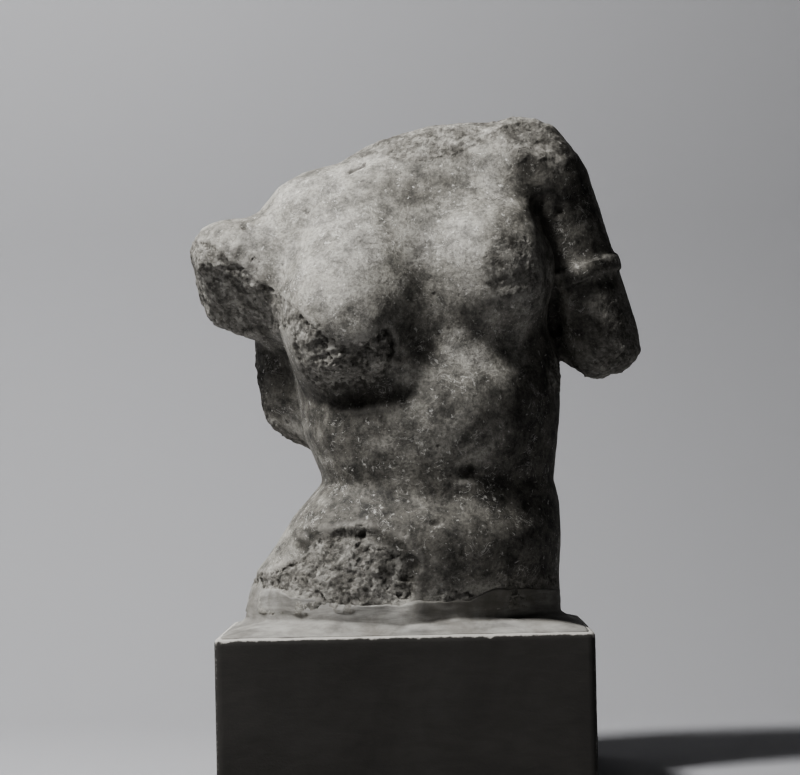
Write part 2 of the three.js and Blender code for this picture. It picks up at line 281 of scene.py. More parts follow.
@dataclass(frozen=True)
class StainAndPaintedShading:
    """A pale patch on the skin round a pixel of the view, dark where its strength is negative. A few are real
    pale marks; most are painted light and painted shade.
    """

    name: str
    centre: Pixel
    radii: Pixel
    strength: float


@dataclass(frozen=True)
class Groove:
    """A line sunk into the skin, along pixels of the view. Its width and depth are in millimetres."""

    name: str
    line: Outline
    width: float
    depth: float


@dataclass(frozen=True)
class Pit:
    """A small deep hole at a pixel of the reference view. Its radius and depth are in millimetres."""

    name: str
    centre: Pixel
    radius: float
    depth: float


STUB_EDGE = (
    *((165, 262), (176, 247), (192, 240), (206, 240), (219, 248), (232, 262), (243, 268), (256, 281)),
    *((272, 288), (300, 309), (292, 328), (268, 332), (249, 345), (200, 350), (160, 310)),
)
BREAST_EDGE = (
    *((281, 312), (300, 316), (322, 331), (343, 346), (358, 344), (372, 331), (388, 326), (397, 345)),
    *((392, 370), (376, 383), (352, 389), (322, 394), (302, 377), (292, 343)),
)
HIP_EDGE = (
    *((246, 577), (266, 570), (282, 567), (299, 561), (310, 551), (320, 538), (334, 529), (350, 529)),
    *((361, 522), (366, 526), (372, 543), (387, 548), (401, 559), (412, 574), (420, 592), (404, 600)),
    *((372, 606), (350, 606), (318, 600), (288, 592), (262, 586)),
)
BASE_LEFT_EDGE = ((426, 598), (437, 590), (452, 588), (467, 590), (474, 597), (462, 604), (440, 605))
BASE_RIGHT_EDGE = (
    *((484, 584), (498, 576), (522, 577), (545, 574), (560, 577), (560, 585), (520, 587), (497, 589)),
)
SHOULDER_EDGE = (
    *((492, 121), (515, 116), (541, 119), (560, 137), (572, 158), (566, 176), (551, 168), (535, 158)),
    *((517, 163), (500, 150), (486, 137)),
)
SHOULDER_HOLLOW_EDGE = ((513, 114), (538, 112), (546, 124), (536, 131), (518, 126))
ARM_END_EDGE = ((548, 352), (575, 362), (600, 360), (625, 346), (655, 340), (650, 390), (548, 390))
ARM_SKIN_EDGE = ((590, 300), (610, 292), (634, 312), (640, 345), (612, 358), (590, 350), (584, 325))
BACK_FOLD_EDGE = (
    *((240, 336), (254, 338), (262, 380), (270, 412), (288, 428), (310, 442), (290, 452), (245, 420)),
)

BREAKS = (
    Break("stub", STUB_EDGE, depth=0.9, roughness=0.8, edge=0.7, back_limit=26.0, raggedness=1.3),
    Break("breast", BREAST_EDGE, depth=0.9, roughness=1.15, edge=0.9, back_limit=-25.0, raggedness=2.2),
    Break("hip", HIP_EDGE, depth=1.0, roughness=1.05, edge=0.6, back_limit=20.0, raggedness=2.2),
    Break("base_left", BASE_LEFT_EDGE, depth=0.8, roughness=0.8, edge=0.8, back_limit=-20.0),
    Break("base_right", BASE_RIGHT_EDGE, depth=0.5, roughness=0.5, edge=0.8, back_limit=20.0),
    Break("shoulder", SHOULDER_EDGE, depth=0.0, roughness=0.4, edge=3.0, back_limit=20.0),
    Break("shoulder_hollow", SHOULDER_HOLLOW_EDGE, depth=1.1, roughness=0.5, edge=1.2, back_limit=15.0),
    Break("arm_end", ARM_END_EDGE, depth=0.2, roughness=0.9, edge=1.6, back_limit=60.0),
    Break("arm_skin", ARM_SKIN_EDGE, depth=0.1, roughness=0.35, edge=2.4, back_limit=-5.0),
    Break("back_fold", BACK_FOLD_EDGE, depth=0.2, roughness=0.8, edge=1.4, back_limit=60.0),
)

SWELLS = (
    Swell("under_breast", (358, 392), (42, 13), -9.0, tilt=-8.0),
    Swell("breast_lip_inner", (384, 362), (12, 8), 3.0, tilt=-18.0),
    Swell("breast_lip_outer", (338, 366), (22, 9), 2.4, tilt=4.0),
    Swell("right_breast", (350, 300), (36, 30), 1.2),
    Swell("belly", (462, 420), (52, 44), 0.8),
    Swell("under_ribs", (466, 362), (34, 16), -1.1),
    Swell("under_navel", (466, 482), (17, 7), 1.2),
    Swell("belly_side", (398, 462), (20, 26), -1.0),
    Swell("breastbone", (420, 292), (16, 44), -1.2, tilt=12.0),
    Swell("right_flank", (288, 380), (8, 44), -1.6, tilt=-12.0, back_limit=-5.0),
    Swell("navel", (469, 468), (10, 7), -1.4),
    Swell("waist_crease", (450, 487), (70, 11), 2.6),
    Swell("stub_face", (230, 320), (30, 12), -3.2, tilt=14.0, back_limit=12.0),
    Swell("stub_top", (212, 247), (22, 8), 1.2, tilt=24.0, back_limit=12.0),
    Swell("shoulder_cap", (560, 144), (13, 13), 1.3, back_limit=24.0),
    Swell("shoulder_corner", (569, 151), (8, 8), 1.5, back_limit=24.0),
    Swell("scar_rim", (516, 294), (22, 6), 1.3, tilt=-14.0),
    Swell("lower_belly", (450, 512), (72, 15), -2.0),
)

GROOVES = (
    Groove("waist_line", ((384, 424), (381, 445), (379, 462), (376, 480)), 5.0, 0.5),
    Groove("neck_crack", ((349, 169), (356, 166), (364, 163)), 1.8, 2.6),
    Groove("neck_ledge", ((296, 188), (320, 181), (346, 173), (372, 161), (408, 150), (440, 144)), 3.2, 0.9),
    Groove("armpit_top", ((528, 172), (533, 190), (540, 208)), 6.0, 1.4),
    Groove("armpit", ((540, 206), (546, 230), (551, 258), (554, 290), (557, 330)), 5.0, 3.0),
    Groove("skin_crack", ((360, 240), (366, 243), (378, 243)), 1.2, 0.8),
    Groove("breast_crack", ((348, 370), (360, 352), (374, 340), (388, 331)), 2.2, 1.8),
)

PITS = (
    Pit("navel", (470, 469), 2.3, 2.2),
    Pit("stub_top", (252, 259), 1.7, 2.4),
    Pit("stub_foot", (241, 333), 3.4, 3.0),
    Pit("right_shoulder", (244, 227), 2.2, 1.2),
    Pit("right_chest", (307, 212), 2.2, 1.0),
    Pit("left_arm", (560, 210), 3.4, 1.2),
    Pit("lower_belly_left", (434, 523), 1.9, 1.4),
    Pit("lower_belly_twin", (438, 522), 1.7, 1.2),
    Pit("lower_belly_right", (489, 524), 1.6, 0.8),
    Pit("above_base", (462, 553), 1.7, 1.1),
    Pit("left_shoulder", (487, 121), 2.4, 1.4),
    Pit("hip", (362, 534), 2.6, 1.6),
)

# Painted light and painted shade: most of these lighten lit places and darken shaded ones, such as the shadow
# under the right breast, the shaded sides and arm, the shade inside the scar's upper left, its lit lower rim and
# the lit edges of the band. Fleck and scratch are real pale marks.
STAINS_AND_PAINTED_SHADING = (
    StainAndPaintedShading("right_breast", (325, 248), (64, 48), 0.5),
    StainAndPaintedShading("stub_top", (215, 226), (28, 10), -0.4),
    StainAndPaintedShading("right_shoulder", (300, 195), (64, 22), 0.5),
    StainAndPaintedShading("neck", (430, 150), (90, 18), 0.5),
    StainAndPaintedShading("upper_breastbone", (440, 246), (48, 22), 0.6),
    StainAndPaintedShading("left_breast", (476, 286), (42, 20), 0.8),
    StainAndPaintedShading("right_hip", (290, 530), (46, 40), -0.5),
    StainAndPaintedShading("left_shoulder", (560, 160), (36, 40), -0.9),
    StainAndPaintedShading("waist", (400, 506), (80, 44), -0.9),
    StainAndPaintedShading("chest", (425, 205), (50, 18), -0.2),
    StainAndPaintedShading("lower_breastbone", (455, 330), (64, 24), -0.4),
    StainAndPaintedShading("belly", (440, 424), (84, 44), -0.3),
    StainAndPaintedShading("under_breast", (352, 396), (44, 12), -1.2),
    StainAndPaintedShading("lower_belly", (474, 520), (90, 46), -1.0),
    StainAndPaintedShading("right_flank", (335, 440), (26, 50), -0.7),
    StainAndPaintedShading("right_side", (268, 392), (22, 54), -0.9),
    StainAndPaintedShading("left_arm", (592, 260), (44, 110), -0.8),
    StainAndPaintedShading("left_side", (542, 460), (26, 130), -1.0),
    StainAndPaintedShading("scar_shade", (500, 250), (16, 13), -1.3),
    StainAndPaintedShading("scar_floor", (521, 277), (18, 18), 0.9),
    StainAndPaintedShading("scar_rim", (516, 295), (20, 5), 0.8),
    StainAndPaintedShading("band_inner", (562, 275), (10, 4), 0.9),
    StainAndPaintedShading("band_middle", (579, 261), (14, 12), -1.2),
    StainAndPaintedShading("band_outer", (611, 256), (11, 4), 1.4),
    StainAndPaintedShading("fleck", (459, 331), (5, 4), 1.8),
    StainAndPaintedShading("scratch", (436, 309), (3, 9), 1.2),
)


@dataclass
class Skin:
    """A mesh's places, their directions and their neighbours, for work on all of them at once."""

    mesh: bpy.types.Mesh
    places: Values = field(init=False)
    ends: Values = field(init=False)

    def __post_init__(self) -> None:
        """Reads the mesh."""
        flat = np.empty(len(self.mesh.vertices) * 3)
        self.mesh.vertices.foreach_get("co", flat)
        self.places = flat.reshape(-1, 3) / MM
        ends = np.empty(len(self.mesh.edges) * 2, np.int64)
        self.mesh.edges.foreach_get("vertices", ends)
        self.ends = ends.reshape(-1, 2)

    def normals(self) -> Values:
        """Writes the places to the mesh and reads the directions in which it faces at each."""
        self.write()
        flat = np.empty(len(self.places) * 3)
        self.mesh.vertices.foreach_get("normal", flat)
        return flat.reshape(-1, 3)

    def mean_of_neighbours(self, values: Values) -> Values:
        """Averages each vertex's neighbours.

        Args:
            values: One value or row of values to a vertex.

        Returns:
            The neighbours' average at each vertex.
        """
        rows = values.reshape(len(self.places), -1)
        start, end = self.ends.T
        counts = np.bincount(np.concatenate((start, end)), minlength=len(rows))
        sums = [
            np.bincount(start, column[end], len(rows)) + np.bincount(end, column[start], len(rows))
            for column in rows.T
        ]
        return (np.stack(sums, axis=1) / np.maximum(counts, 1)[:, None]).reshape(values.shape)

    def smooth(self, rounds: int, share: Values | float = 1.0) -> None:
        """Takes out small unevenness and keeps the volume, by a step inwards and one back out in each round.

        Args:
            rounds: How many times.
            share: How much of it each vertex gets.
        """
        inwards, outwards = 0.55, -0.57
        weight = share[:, None] if isinstance(share, np.ndarray) else share
        for _ in range(rounds):
            for step in (inwards, outwards):
                self.places += weight * step * (self.mean_of_neighbours(self.places) - self.places)

    def spread(self, values: Values) -> Values:
        """Blurs a value over the surface."""
        return 0.5 * values + 0.5 * self.mean_of_neighbours(values)

    def raise_by(self, height: Values) -> None:
        """Moves each vertex along its direction, by a height in millimetres."""
        self.places += self.normals() * height[:, None]

    def write(self) -> None:
        """Puts the places back into the mesh."""
        self.mesh.vertices.foreach_set("co", (self.places * MM).ravel())
        self.mesh.update()

    def mark(self, name: str, values: Values) -> None:
        """Stores a value at each vertex under a name that a material reads."""
        attribute = self.mesh.attributes.new(name, "FLOAT", "POINT")
        attribute.data.foreach_set("value", values.astype(np.float32))


def linked(name: str, data: bpy.types.ID) -> bpy.types.Object:
    """Adds an object to the scene."""
    added = bpy.data.objects.new(name, data)
    bpy.context.scene.collection.objects.link(added)
    return added


def as_mesh(bm: bmesh.types.BMesh, name: str) -> bpy.types.Mesh:
    """Turns a form into a mesh and frees it."""
    mesh = bpy.data.meshes.new(name)
    bm.to_mesh(mesh)
    bm.free()
    return mesh


def verts_of(geometry: list[Any]) -> list[bmesh.types.BMVert]:
    """Picks the vertices out of what an operator made."""
    return [item for item in geometry if isinstance(item, bmesh.types.BMVert)]


def remeshed(bm: bmesh.types.BMesh, name: str, voxel: float) -> bpy.types.Mesh:
    """Gives a closed form an even mesh.

    Args:
        bm: The form. It is freed.
        name: The new mesh's name.
        voxel: The spacing of its vertices, in millimetres.

    Returns:
        The new mesh.
    """
    rough = as_mesh(bm, f"{name}_rough")
    carrier = linked(f"{name}_rough", rough)
    remesh = carrier.modifiers.new("even_mesh", "REMESH")
    remesh.mode = "VOXEL"
    remesh.voxel_size = voxel * MM
    graph = bpy.context.evaluated_depsgraph_get()
    mesh = bpy.data.meshes.new_from_object(carrier.evaluated_get(graph))
    mesh.name = name
    bpy.data.objects.remove(carrier)
    bpy.data.meshes.remove(rough)
    return mesh


def merged_copy(node: bpy.types.Object) -> bmesh.types.BMesh:
    """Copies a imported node's loose triangles into one connected form."""
    bm = bmesh.new()
    bm.from_mesh(node.data)
    bmesh.ops.remove_doubles(bm, verts=bm.verts, dist=0.01 * MM)
    return bm


def finished(mesh: bpy.types.Mesh, name: str, slot: Slot, material: bpy.types.Material) -> bpy.types.Object:
    """Makes a mesh a finished piece.

    Args:
        mesh: The piece's mesh, in its place.
        name: The piece's name.
        slot: The record's slot for its finish. Not used.
        material: Its material.

    Returns:
        The piece.
    """
    mesh.shade_smooth()
    mesh.materials.clear()
    mesh.materials.append(material)
    piece = linked(name, mesh)
    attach(piece, "root")
    triangles = sum(len(face.vertices) - 2 for face in mesh.polygons)
    LOG.info("%s: %d triangles", name, triangles)
    return piece


@dataclass
class Torso:
    """The marble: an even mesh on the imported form, made finer where it is rough, then its relief.

    Places and sizes are in millimetres, but for the scar's, which are pixels of the reference view.
    """

    view: ReferenceView
    voxel: float = 2.3
    sunk_in_plaster: float = 8.0
    smoothing: int = 14
    ragged_size: float = 9.0
    arm_top: tuple[float, float, float] = (109.9, 3.9, 378.1)
    arm_foot: tuple[float, float, float] = (138.1, 5.9, 291.8)
    arm_reach: float = 45.0
    arm_inner: float = 100.0
    arm_outer: float = 112.0
    band_place: float = 0.47
    band_width: float = 11.0
    band_relief: float = 1.2
    neck_centre: tuple[float, float] = (27.0, 6.0)
    neck_radii: tuple[float, float] = (62.0, 34.0)
    neck_floor: float = 407.0
    neck_roughness: float = 0.48
    scar: Pixel = (512.0, 266.0)
    scar_radius: float = 31.0
    scar_squeeze: float = 0.88
    scar_back: float = -10.0
    scar_rim_depth: float = 0.4
    scar_bowl_depth: float = 2.4
    scar_roughness: float = 0.4

    def build(self, node: bpy.types.Object, material: bpy.types.Material) -> bpy.types.Object:
        """Makes the piece.

        Args:
            node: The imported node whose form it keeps.
            material: The marble.

        Returns:
            The finished piece.
        """
        mesh = self.even_form(node)
        self.refine(mesh)
        skin = Skin(mesh)
        skin.smooth(2)
        self.swell(skin)
        split = self.weather(skin)
        low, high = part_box("torso")
        skin.places = np.clip(skin.places, (low.x / MM, low.y / MM, -np.inf), np.array(high) / MM)
        self.mark_finish(skin, split)
        piece = finished(mesh, "marble_torso", Slot.MARBLE, material)
        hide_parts("torso")
        return piece

    def even_form(self, node: bpy.types.Object) -> bpy.types.Mesh:
        """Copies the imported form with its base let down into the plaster, in an even mesh without facets."""
        bm = merged_copy(node)
        lowest = min(vertex.co.z for vertex in bm.verts)
        tolerance = 0.05 * MM
        base = [vertex for vertex in bm.verts if vertex.co.z < lowest + tolerance]
        bmesh.ops.translate(bm, verts=base, vec=(0.0, 0.0, -self.sunk_in_plaster * MM))
        mesh = remeshed(bm, "marble_torso", self.voxel)
        skin = Skin(mesh)
        rough, _ = self.roughness(skin.places)
        kept_in_breaks = 0.7
        skin.smooth(self.smoothing, 1.0 - kept_in_breaks * smoothstep(rough, 0.2, 1.2))
        skin.write()
        return mesh

    def band_distance(self, places: Values) -> tuple[Values, Values]:
        """Measures places against the band on the arm.

        Args:
            places: Places in millimetres, one to a row.

        Returns:
            How far each lies along the arm from the band's middle, and how far from the arm's middle line.
        """
        top, foot = np.array(self.arm_top), np.array(self.arm_foot)
        length = float(np.linalg.norm(foot - top))
        direction = (foot - top) / length
        away = places - top
        along = away @ direction
        out = np.linalg.norm(away - along[:, None] * direction, axis=1)
        return along - self.band_place * length, out

    def refine(self, mesh: bpy.types.Mesh) -> None:
        """Halves the mesh's spacing where the stone is rough or the band has its edges."""
        places = Skin(mesh).places
        least_rough, margin = 0.02, 3.0
        chosen = self.roughness(places)[0] > least_rough
        along, out = self.band_distance(places)
        chosen |= (np.abs(along) < self.band_width / 2 + margin) & (out < self.arm_reach)
        bm = bmesh.new()
        bm.from_mesh(mesh)
        faces = (face for face in bm.faces if all(chosen[vertex.index] for vertex in face.verts))
        edges = {edge for face in faces for edge in face.edges}
        bmesh.ops.subdivide_edges(bm, edges=list(edges), cuts=1, use_grid_fill=True)
        bmesh.ops.triangulate(bm, faces=[face for face in bm.faces if len(face.verts) > 4])
        bm.to_mesh(mesh)
        bm.free()

    def roughness(self, places: Values) -> tuple[Values, Values]:
        """Finds the broken places.

        Args:
            places: Places in millimetres, one to a row.

        Returns:
            How rough the stone is at each place and how far it lies under the old skin, both in millimetres.
        """
        u, v = self.view.pixels(places)
        scale = self.view.pixels_per_mm
        ragged = uneven(places, self.ragged_size, 3, seed=3, softness=0.7)
        rough = np.zeros(len(places))
        depth = np.zeros(len(places))
        backwards = places[:, 1] + 4.0 * ragged
        for place in BREAKS:
            inside = within(u, v, place.outline) / scale + place.raggedness * ragged
            share = smoothstep(inside, 0.0, place.edge)
            share *= 1.0 - smoothstep(backwards, place.back_limit - 2.0, place.back_limit + 2.0)
            rough = np.maximum(rough, share * place.roughness)
            depth = np.maximum(depth, share * place.depth)

        scar_out = np.hypot(u - self.scar[0], self.scar_squeeze * (v - self.scar[1]))
        inside = (self.scar_radius - scar_out) / scale
        share = smoothstep(inside + 1.2 * ragged, 0.0, 2.2) * (places[:, 1] < self.scar_back)
        scar_depth = self.scar_rim_depth + self.scar_bowl_depth * smoothstep(inside, 0.0, 12.0)
        rough = np.maximum(rough, self.scar_roughness * share)
        depth = np.maximum(depth, scar_depth * share)

        neck_out = np.linalg.norm((places[:, :2] - self.neck_centre) / self.neck_radii, axis=1)
        share = smoothstep(1.0 - neck_out + 0.12 * ragged, 0.0, 0.05)
        share *= smoothstep(places[:, 2], self.neck_floor, self.neck_floor + 6.0)
        return np.maximum(rough, self.neck_roughness * share), depth

    def swell(self, skin: Skin) -> None:
        """Adds the soft rises and hollows."""
        u, v = self.view.pixels(skin.places)
        height = np.zeros(len(skin.places))
        fade = 6.0
        for swell in SWELLS:
            tilt = math.radians(swell.tilt)
            across, down = u - swell.centre[0], v - swell.centre[1]
            along = (across * math.cos(tilt) + down * math.sin(tilt)) / swell.radii[0]
            aside = (down * math.cos(tilt) - across * math.sin(tilt)) / swell.radii[1]
            in_front = 1.0 - smoothstep(skin.places[:, 1], swell.back_limit - fade, swell.back_limit)
            height += swell.height * np.exp(-(along**2 + aside**2)) * in_front
        skin.raise_by(height)

    def weather(self, skin: Skin) -> Values:
        """Adds the breaks, grooves, pits, band and general wear.

        Args:
            skin: The piece's surface.

        Returns:
            How broken the stone is at each vertex, from 0 on old skin to 1 in a break.
        """
        places = skin.places.copy()
        in_front = smoothstep(-skin.normals()[:, 1], 0.0, 0.3)
        rough, depth = self.roughness(places)
        split = smoothstep(rough, 0.0, 0.6)
        height = -depth
        broken = rough > 0.01
        height[broken] += rough[broken] * self.crumbs(places[broken])
        wear = 0.34 * uneven(places, 26.0, 2, seed=5) + 0.2 * uneven(places, 7.0, 3, seed=6, softness=0.6)
        height += (1.0 - split) * (wear - self.skin_pits(places))
        height -= self.cuts(places) * in_front
        height += self.band(places)
        skin.raise_by(height)
        return split

    @staticmethod
    def crumbs(places: Values) -> Values:
        """Works out a break's relief: broad lumps, then the faces of large and of small crystals."""
        lumps = uneven(places, 22.0, 5, seed=1, softness=0.62)
        large = crystal_faces(places, 11.0, seed=1)
        small = crystal_faces(places, 4.6, seed=2)
        return 1.25 * lumps + 1.2 * large + 0.85 * small

    def cuts(self, places: Values) -> Values:
        """Works out how deep the grooves and pits are at each place, in millimetres."""
        u, v = self.view.pixels(places)
        scale = self.view.pixels_per_mm
        wander = 0.64 * uneven(places, 12.0, 2, seed=8)
        depth = np.zeros(len(places))
        for groove in GROOVES:
            aside = nearest_on(u, v, groove.line) / scale + wander
            depth += groove.depth * np.exp(-((aside / groove.width) ** 2))
        for pit in PITS:
            aside = np.hypot(u - pit.centre[0], v - pit.centre[1]) / scale
            depth += pit.depth * np.exp(-((aside / pit.radius) ** 4))
        return depth

    def band(self, places: Values) -> Values:
        """Works out how far the band stands out at each place, with frayed edges and a worn face."""
        along, out = self.band_distance(places)
        frayed = 0.9 * uneven(places, 8.0, 3, seed=10, softness=0.6)
        share = smoothstep(self.band_width / 2 - np.abs(along) + frayed, -0.6, 0.6)
        share *= (out < self.arm_reach) * smoothstep(places[:, 0], self.arm_inner, self.arm_outer)
        worn = 0.7 + 0.5 * uneven(places, 15.0, 3, seed=9)
        return self.band_relief * share * worn

    @staticmethod
    def skin_pits(places: Values) -> Values:
        """Works out how deep the old skin's scattered small pits are at each place, in millimetres."""
        crowding = smoothstep(uneven(places, 34.0, 2, seed=11), -0.2, 0.5)
        depth = np.zeros(len(places))
        for spacing, radius, deepest, seed in ((13.0, 0.17, 0.9, 12), (7.5, 0.18, 0.5, 13)):
            nearest, _ = grains(places, spacing, seed)
            depth += deepest * (1.0 - smoothstep(nearest, radius * 0.35, radius)) * crowding
        return depth

    def pale_marks_and_painted_shading(self, places: Values, normals: Values) -> Values:
        """Works out how pale the skin is at each place, as painted light and shade with a few real pale marks:
        from 0 where it is darkest through 0.5 to 1.
        """
        u, v = self.view.pixels(places)
        total = np.zeros(len(places))
        for stain_and_painted_shading in STAINS_AND_PAINTED_SHADING:
            across = (u - stain_and_painted_shading.centre[0]) / stain_and_painted_shading.radii[0]
            down = (v - stain_and_painted_shading.centre[1]) / stain_and_painted_shading.radii[1]
            total += stain_and_painted_shading.strength * np.exp(-(across**2 + down**2))
        return np.clip(0.5 + 0.5 * total * smoothstep(-normals[:, 1], -0.3, 0.2), 0.0, 1.0)

    def mark_finish(self, skin: Skin, split: Values) -> None:
        """Stores what the marble's material reads: how broken it is, its painted light and shade with a few real
        pale marks, and how sunk or proud.
        """
        normals = skin.normals()
        fine_share, broad_share, broad_rounds = 1.6, 0.07, 12
        hollow = np.sum((skin.mean_of_neighbours(skin.places) - skin.places) * normals, axis=1)
        evened = skin.places
        for _ in range(broad_rounds):
            evened = skin.mean_of_neighbours(evened)
        broad = np.sum((evened - skin.places) * normals, axis=1)
        sunk = 0.5 + fine_share * skin.spread(hollow) + broad_share * broad
        skin.mark("split", skin.spread(split))
        skin.mark("pale_marks_and_painted_shading", self.pale_marks_and_painted_shading(skin.places, normals))
        skin.mark("sunk", np.clip(sunk, 0.0, 1.0))


@dataclass
class PlasterFoot:
    """The plaster that holds the marble: a trowelled wall that laps over its base, and round it a low bank
    that runs out at the plinth's edges. Sizes are in millimetres, and the rim's line is in pixels."""

    view: ReferenceView
    columns: int = 420
    bank_rows: int = 12
    wall_rows: int = 14
    bank_height: float = 7.4
    bank_inset: float = 2.6
    bank_run: float = 15.0
    bedded: float = 1.2
    lap: float = 0.5
    lip: float = 0.6
    ridge_across: float = 416.0
    ridge_width: float = 12.0
    rim: Outline = (
        *((230, 574), (252, 580), (290, 597), (340, 605), (400, 606), (420, 602)),
        *((445, 602), (470, 600), (495, 590), (530, 588), (560, 590), (580, 588)),
    )

    def build(
        self, node: bpy.types.Object, marble: bpy.types.Object, material: bpy.types.Material
    ) -> bpy.types.Object:
        """Makes the piece.

        Args:
            node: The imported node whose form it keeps.
            marble: The finished marble, which it touches.
            material: The plaster.

        Returns:
            The finished piece.
        """
        low, high = (np.array(corner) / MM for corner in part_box("plaster_foot"))
        block_low, block_high = (np.array(corner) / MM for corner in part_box("plinth"))
        centre = (low + high) / 2
        angles = np.arange(self.columns) * 2 * math.pi / self.columns
        away = np.stack([np.cos(angles), np.sin(angles), np.zeros(self.columns)], axis=1)
        stone = self.tree(marble)
        wall = self.reach(self.tree(node), centre, away, np.full(self.columns, centre[2]))
        edge = self.to_edge(centre, away, block_low + self.bank_inset, block_high - self.bank_inset)
        edge += 0.5 * uneven(centre + away * edge[:, None], 10.0, 3, seed=20)
        crease = low[2] + self.lip + self.bank_height * smoothstep(edge - wall, 0.0, self.bank_run)
        rim = self.rim_heights(stone, centre, away, high[2])

        bed = np.full(self.columns, low[2] - self.bedded)
        foot = bed + self.lip / 2
        rows = [(edge - self.lip, bed), (edge, foot)]
        for share in np.arange(1, self.bank_rows + 1) / self.bank_rows:
            rows.append((edge + (wall + self.lip - edge) * share, foot + (crease - foot) * share))
        rim_reach = self.blurred(self.reach(stone, centre, away, rim)) + self.lap
        for share in np.arange(1, self.wall_rows + 1) / self.wall_rows:
            level = crease + (rim - crease) * share
            plain = wall + (rim_reach - wall) * share**1.6
            round_stone = self.blurred(self.reach(stone, centre, away, level)) + self.lap * 0.6
            rows.append((np.maximum(plain, round_stone), level))
        rows += [(rim_reach - 2.0, rim + 0.8), (rim_reach - 9.0, rim + 0.6)]
        mesh = self.drawn_up(centre, away, rows)
        self.trowel(Skin(mesh))
        piece = finished(mesh, "plaster_foot_piece", Slot.PLASTER, material)
        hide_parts("plaster_foot")
        return piece

    @staticmethod
    def tree(piece: bpy.types.Object) -> BVHTree:
        """Prepares a piece for measuring."""
        bm = bmesh.new()
        bm.from_mesh(piece.data)
        tree = BVHTree.FromBMesh(bm)
        bm.free()
        return tree

    @staticmethod
    def reach(tree: BVHTree, centre: Values, away: Values, levels: Values) -> Values:
        """Measures how far out a piece's surface lies.

        Args:
            tree: The piece, prepared for measuring.
            centre: The middle from which it is measured, in millimetres.
            away: The directions, one to a row.
            levels: The height at which each is measured, in millimetres.

        Returns:
            The distances in millimetres, 0 at heights where the piece isn't.
        """
        outside = 400.0
        distances = []
        for direction, level in zip(away, levels):
            start = (centre * WITHOUT_HEIGHT + direction * outside + (0, 0, level)) * MM
            hit = tree.ray_cast(Vector(start), Vector(-direction))[3]
            distances.append(0.0 if hit is None else outside - hit / MM)
        return np.array(distances)

    @staticmethod
    def to_edge(centre: Values, away: Values, low: Values, high: Values) -> Values:
        """Measures from the middle to the sides of a rectangle."""
        sides = np.abs(np.where(away > 0, high, low) - centre)[:, :2]
        least = 1e-9
        return np.min(sides / np.maximum(np.abs(away[:, :2]), least), axis=1)

    def rim_heights(self, stone: BVHTree, centre: Values, away: Values, top: float) -> Values:
        """Finds how high the plaster laps in each direction: along the rim in front, about level behind."""
        reach = self.reach(stone, centre, away, np.full(self.columns, top))
        places = centre * WITHOUT_HEIGHT + away * reach[:, None] + (0, 0, top)
        across, down = self.view.pixels(places)
        rim_across, rim_down = np.array(self.rim).T
        in_front = top + (down - np.interp(across, rim_across, rim_down)) / self.view.pixels_per_mm
        behind = top + 1.0 + 3.0 * uneven(places, 38.0, 2, seed=21)
        share = smoothstep(places[:, 1], -5.0, 25.0)
        lapping = 0.9 * uneven(places, 9.0, 3, seed=22, softness=0.6)
        lowest, highest = top - 6.0, top + 9.0
        return np.clip(in_front * (1.0 - share) + behind * share + lapping, lowest, highest)

    @staticmethod
    def blurred(values: Values) -> Values:
        """Averages each value with its neighbours round the ring."""
        width, spread = 6, 8.0
        weights = np.exp(-(np.arange(-width, width + 1) ** 2) / spread)
        rounded = np.concatenate((values[-width:], values, values[:width]))
        return np.convolve(rounded, weights / weights.sum(), mode="valid")

    @staticmethod
    def drawn_up(centre: Values, away: Values, rows: list[tuple[Values, Values]]) -> bpy.types.Mesh:
        """Draws a disc up through rings and closes it on top.

        Args:
            centre: The rings' middle, in millimetres.
            away: Each column's direction, in order round the ring.
            rows: Each ring's distances and heights, from the lowest to the highest.

        Returns:
            The mesh.
        """
        middle, columns = centre * WITHOUT_HEIGHT, len(away)
        bm = bmesh.new()
        at_middle = Matrix.Translation(Vector(middle) * MM)
        disc = bmesh.ops.create_circle(bm, cap_ends=True, segments=columns, radius=MM, matrix=at_middle)
        ring, edges = set(disc["verts"]), bm.edges[:]
        for row, (reach, level) in enumerate(rows):
            if row > 0:
                drawn = bmesh.ops.extrude_edge_only(bm, edges=edges)["geom"]
                ring = set(verts_of(drawn))
                edges = [edge for edge in bm.edges if ring.issuperset(edge.verts)]
            places = middle + away * reach[:, None]
            places[:, 2] = level
            for vertex in ring:
                across, inwards, _ = vertex.co - Vector(middle) * MM
                column = round(math.atan2(inwards, across) / (2 * math.pi) * columns) % columns
                vertex.co = places[column] * MM
        bmesh.ops.edgeloop_fill(bm, edges=edges)
        bmesh.ops.recalc_face_normals(bm, faces=bm.faces)
        bmesh.ops.triangulate(bm, faces=[face for face in bm.faces if len(face.verts) > 4])
        return as_mesh(bm, "plaster_foot_piece")

    def trowel(self, skin: Skin) -> None:
        """Adds the level strokes of the trowel and a soft upright ridge in front."""
        places = skin.places
        above_bed = places[:, 2] - places[:, 2].min()
        stroke = uneven(places * (0.2, 0.2, 1.0), 5.0, 3, seed=23)
        soft = uneven(places, 30.0, 2, seed=24)
        u, _ = self.view.pixels(places)
        ridge = np.exp(-(((u - self.ridge_across) / self.ridge_width) ** 2)) * (places[:, 1] < 0)
        skin.raise_by(smoothstep(above_bed, 1.2, 3.5) * (0.25 * stroke + 0.45 * soft + ridge))
        skin.write()
        # Painted shade in part: a grey wash near the rim that grows much stronger towards the foot's right side.
        upper = smoothstep(places[:, 2] - places[:, 2].min(), 9.0, 20.0)
        skin.mark("washed_and_painted_shade", upper * (0.4 + 0.6 * smoothstep(places[:, 0], -5.0, 30.0)))


